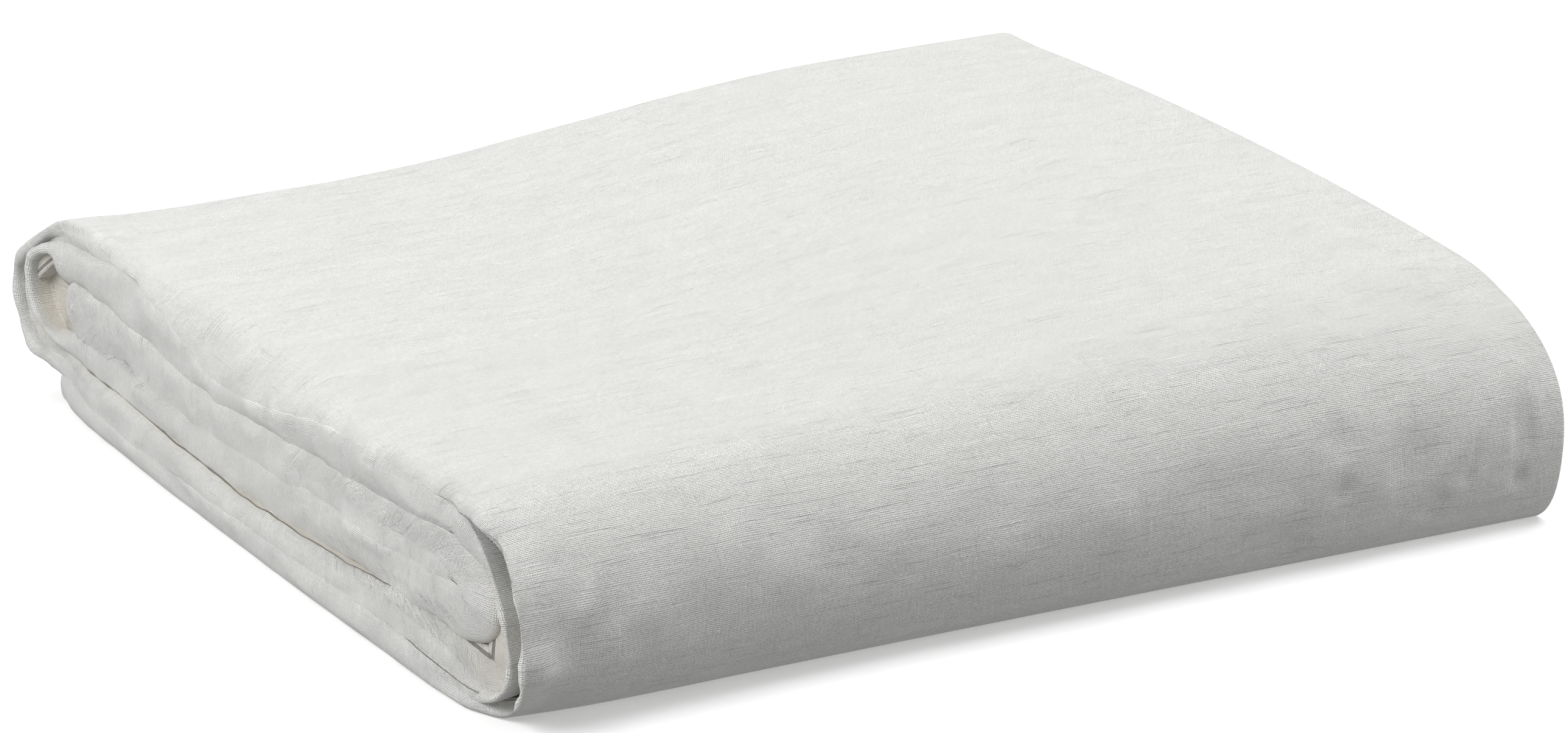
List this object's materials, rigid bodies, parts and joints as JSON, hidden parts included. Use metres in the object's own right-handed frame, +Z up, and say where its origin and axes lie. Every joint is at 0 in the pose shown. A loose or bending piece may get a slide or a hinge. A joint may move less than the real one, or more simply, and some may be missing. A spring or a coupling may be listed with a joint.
{
  "type": "folded fitted sheet",
  "caption": "Washed linen fitted sheet folded into a soft, rounded packet that lies flat on a shelf, bed or table.",
  "frame": {"origin": "on the surface that the packet lies on, below the middle of its box", "axes": "+Z up, X along the packet's folded edges with the layered end that the picture shows at -X, and the round front fold at -Y"},
  "size_m": [0.408, 0.4134, 0.0897],
  "materials": {
    "linen": "matte off-white washed linen, plain weave with slubs"
  },
  "bodies": {
    "root": {"fitted_sheet": "linen"}
  },
  "joints": []
}
